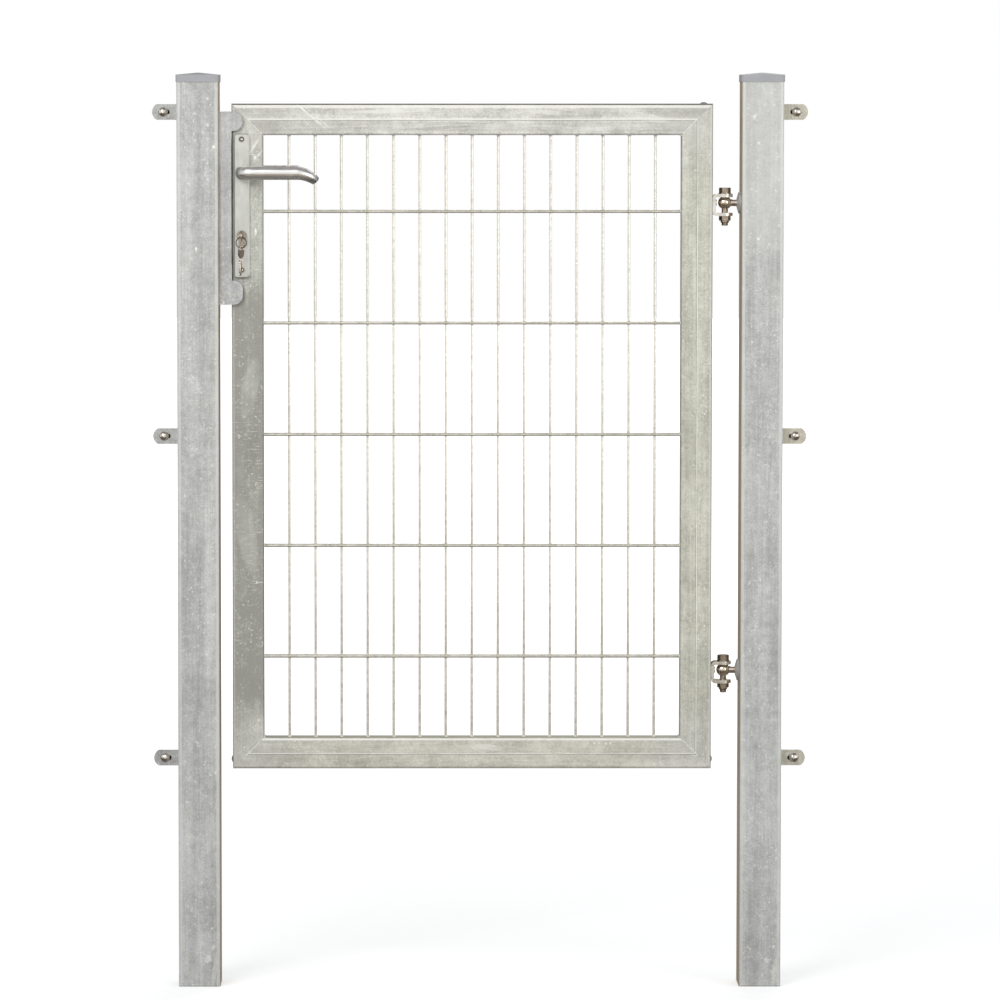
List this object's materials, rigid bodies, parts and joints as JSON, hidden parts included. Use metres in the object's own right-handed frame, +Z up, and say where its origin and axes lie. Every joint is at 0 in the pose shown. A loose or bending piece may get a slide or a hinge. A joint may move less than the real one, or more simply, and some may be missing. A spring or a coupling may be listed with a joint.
{
  "type": "mesh garden gate",
  "caption": "Single swing gate of galvanised tube with a welded mesh leaf, lever handle lock, ball hinges and two square posts with slotted fence lugs.",
  "frame": {"origin": "centre of the hinge post's foot", "axes": "+Z up along the posts, -Y to the gate's front as pictured, the leaf lies towards -X from the hinge post"},
  "size_m": [1.252, 0.148, 1.753],
  "materials": {
    "galvanised_post": "matte",
    "galvanised_frame": "matte",
    "galvanised_wire": "satin",
    "grey_plastic": "matte",
    "bright_steel": "gloss",
    "satin_aluminium": "satin",
    "nickelled_brass": "satin",
    "key_nickel": "satin"
  },
  "bodies": {
    "posts": {"lock_post": "galvanised_post", "hinge_post": "galvanised_post", "lock_post_cap": "grey_plastic", "hinge_post_cap": "grey_plastic", "strike_plate": "galvanised_post", "lock_post_lug_top": "galvanised_post", "lock_post_lug_middle": "galvanised_post", "lock_post_lug_bottom": "galvanised_post", "hinge_post_lug_top": "galvanised_post", "hinge_post_lug_middle": "galvanised_post", "hinge_post_lug_bottom": "galvanised_post", "lock_post_lug_bolts": "bright_steel", "lock_post_lug_nuts": "bright_steel", "hinge_post_lug_bolts": "bright_steel", "hinge_post_lug_nuts": "bright_steel", "upper_eye_bolt": "bright_steel", "lower_eye_bolt": "bright_steel", "upper_hinge_flange": "galvanised_post", "lower_hinge_flange": "galvanised_post"},
    "leaf": {"lock_stile": "galvanised_frame", "hinge_stile": "galvanised_frame", "top_rail": "galvanised_frame", "bottom_rail": "galvanised_frame", "mesh_panel": "galvanised_wire", "vent_plugs": "grey_plastic", "upper_hinge_fork": "bright_steel", "lower_hinge_fork": "bright_steel", "upper_hinge_bolt": "bright_steel", "lower_hinge_bolt": "bright_steel", "upper_hinge_nut": "bright_steel", "lower_hinge_nut": "bright_steel", "fork_screws": "bright_steel", "lock_case": "bright_steel", "latch_bolt": "bright_steel", "dead_bolt": "bright_steel", "front_escutcheon": "satin_aluminium", "back_escutcheon": "satin_aluminium", "escutcheon_screws": "bright_steel", "lock_cylinder": "nickelled_brass"},
    "lever": {"front_lever": "satin_aluminium", "back_lever": "satin_aluminium", "lever_spindle": "bright_steel"},
    "key": {"cylinder_plug": "nickelled_brass", "key": "key_nickel", "key_ring": "key_nickel", "spare_key": "key_nickel"}
  },
  "joints": [
    {"name": "leaf_swing", "type": "hinge", "parent": "posts", "child": "leaf", "pos_m": [-0.07, 0, 1.0565], "axis": [0, 0, -1], "range_deg": [0, 90]},
    {"name": "lever_turn", "type": "hinge", "parent": "leaf", "child": "lever", "pos_m": [-0.9925, 0, 1.5625], "axis": [0, 1, 0], "range_deg": [0, 35], "stiffness_Nm_per_rad": 1.2, "springref_deg": -20.05},
    {"name": "key_turn", "type": "hinge", "parent": "leaf", "child": "key", "pos_m": [-0.9925, 0, 1.4425], "axis": [0, 1, 0], "range_deg": [0, 360]}
  ]
}
